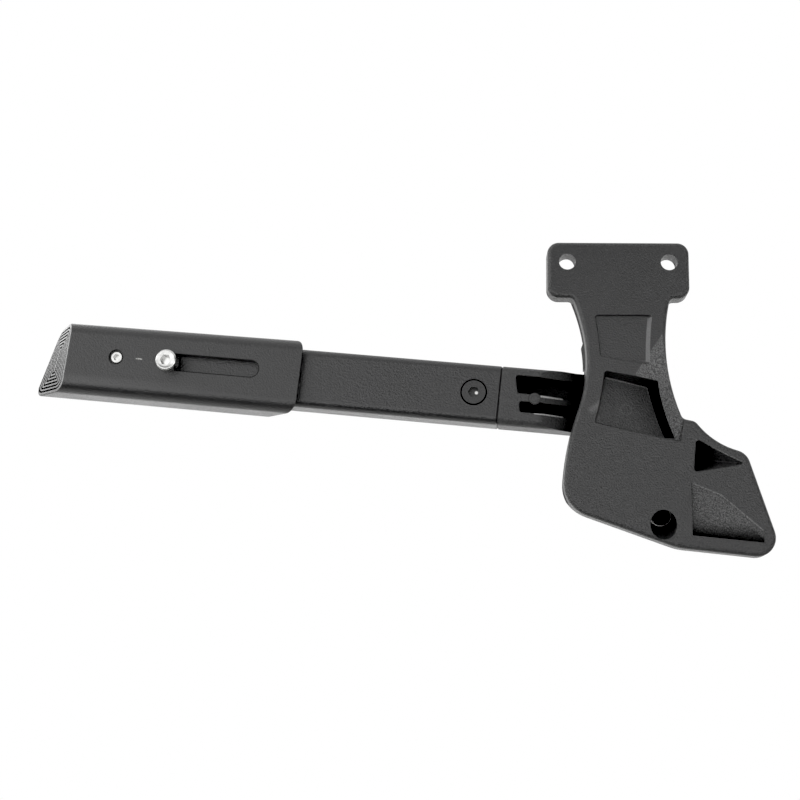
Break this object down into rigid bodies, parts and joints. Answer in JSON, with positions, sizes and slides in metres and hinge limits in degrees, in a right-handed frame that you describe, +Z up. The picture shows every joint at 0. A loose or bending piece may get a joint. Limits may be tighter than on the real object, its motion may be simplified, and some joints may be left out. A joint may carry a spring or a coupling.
{
  "type": "bicycle kickstand",
  "caption": "Folding rear kickstand for a bicycle: cast bracket with a two-bolt flange, oblique pivot, flat tubular leg and a sliding foot sleeve for length, shown folded back.",
  "frame": {"origin": "centre of the two mounting holes, on the bracket face that meets the bicycle frame", "axes": "+X forward along the bicycle, +Y outward away from the wheel, +Z up; -Y leaves the mounting face"},
  "size_m": [0.2982, 0.0398, 0.1238],
  "materials": {
    "black_casting": "die casting with fine black powder coat",
    "black_tube": "extruded, satin black coat",
    "foot_plastic": "moulded, satin black",
    "bright_steel": "bright zinc",
    "black_steel": "black oxide",
    "plain_steel": "ground steel",
    "spring_steel": "zinc plated spring wire",
    "bearing_bronze": "sintered bronze",
    "buffer_rubber": "moulded black rubber",
    "plug_plastic": "moulded black"
  },
  "bodies": {
    "bracket": {"mount_bracket": "black_casting", "pivot_pin": "plain_steel", "pivot_screw": "black_steel", "bracket_spring_post": "plain_steel", "stop_pin": "plain_steel", "stop_buffer": "buffer_rubber"},
    "leg": {"pivot_arm": "black_casting", "pivot_bush_inner": "bearing_bronze", "pivot_bush_outer": "bearing_bronze", "leg_tube": "black_tube", "leg_screw": "black_steel", "arm_spring_post": "plain_steel", "clamp_nut": "plain_steel", "adjust_bolt": "bright_steel", "tube_end_plug": "plug_plastic"},
    "foot": {"foot_sleeve": "foot_plastic", "grub_screw": "bright_steel"},
    "spring": {"tension_spring": "spring_steel"}
  },
  "joints": [
    {"name": "fold", "type": "hinge", "parent": "bracket", "child": "leg", "pos_m": [0.0158, 0, -0.1042], "axis": [0, -0.8829, -0.4695], "range_deg": [0, 105], "deforming": ["tension_spring"]},
    {"name": "foot_slide", "type": "slide", "parent": "leg", "child": "foot", "axis": [-0.9931, 0.0694, 0.0941], "range_m": [0, 0.034]},
    {"name": "spring_swing", "type": "hinge", "parent": "bracket", "child": "spring", "pos_m": [0.04285, 0.03156, -0.07921], "axis": [0, -0.8829, -0.4695], "range_deg": [0, 34.8]}
  ],
  "couplings": [
    {"joint": "spring_swing", "follows": "fold", "ratio": 0.33042}
  ]
}
